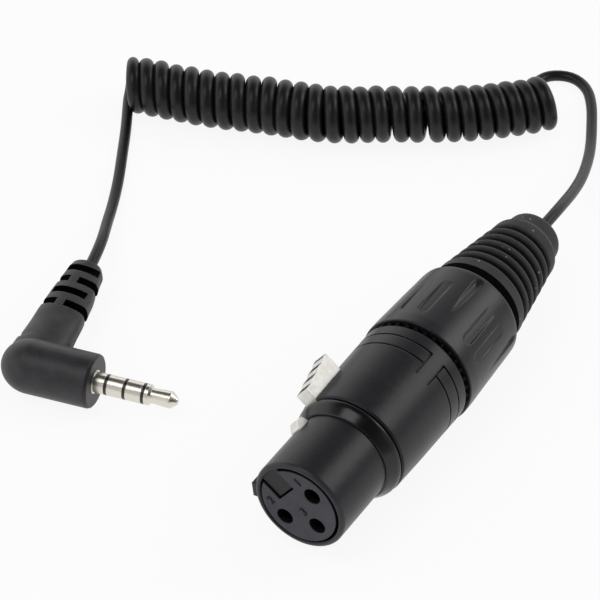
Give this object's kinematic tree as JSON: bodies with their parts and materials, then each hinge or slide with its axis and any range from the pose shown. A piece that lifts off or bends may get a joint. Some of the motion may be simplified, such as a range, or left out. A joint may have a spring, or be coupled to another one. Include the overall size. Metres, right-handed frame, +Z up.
{
  "type": "coiled microphone lead",
  "caption": "Coiled lead with a latching female three-pole cable connector on one end and a right-angle four-pole jack plug on the other",
  "frame": {"origin": "on the table under the middle of the connector's box", "axes": "+X along the connector's axis from its mating face towards its boot, +Z up"},
  "size_m": [0.1314, 0.0981, 0.0202],
  "materials": {
    "housing_coat": "satin black coat on die-cast zinc",
    "ring_rubber": "glossy black rubber",
    "insert_plastic": "fine matt moulded, dark grey",
    "contact_plate": "plated turned brass",
    "latch_nickel": "bright nickel plate",
    "spring_steel": "drawn wire",
    "tooth_plastic": "moulded, black",
    "chuck_plastic": "moulded, natural white",
    "nut_plastic": "satin moulded, black",
    "boot_rubber": "matt moulded rubber",
    "cord_jacket": "satin extruded jacket",
    "core_insulation": "extruded insulation",
    "grip_plastic": "matt moulded soft plastic",
    "jack_nickel": "bright nickel plate",
    "band_plastic": "moulded, black"
  },
  "bodies": {
    "root": {"shell": "housing_coat", "shoulder_ring": "ring_rubber", "insert": "insert_plastic", "contact_1": "contact_plate", "contact_2": "contact_plate", "contact_3": "contact_plate", "latch_pin": "spring_steel", "latch_spring": "spring_steel", "toothed_ring": "tooth_plastic", "chuck": "chuck_plastic", "nut": "nut_plastic", "boot": "boot_rubber", "cable_inside": "cord_jacket", "core_wires": "core_insulation", "cord_tail_connector": "cord_jacket", "cord_coil": "cord_jacket", "cord_tail_plug": "cord_jacket", "plug_grip": "grip_plastic", "jack_sleeve": "jack_nickel", "jack_ring_near": "jack_nickel", "jack_ring_far": "jack_nickel", "jack_tip": "jack_nickel", "insulator_sleeve": "band_plastic", "insulator_ring": "band_plastic", "insulator_tip": "band_plastic"},
    "latch": {"latch": "latch_nickel"}
  },
  "joints": [
    {"name": "latch_press", "type": "hinge", "parent": "root", "child": "latch", "pos_m": [-0.01026, 0.00423, 0.01367], "axis": [0, -0.5858, 0.8105], "range_deg": [0, 4], "stiffness_Nm_per_rad": 0.6, "springref_deg": -2.29, "deforming": ["latch_spring"]}
  ]
}
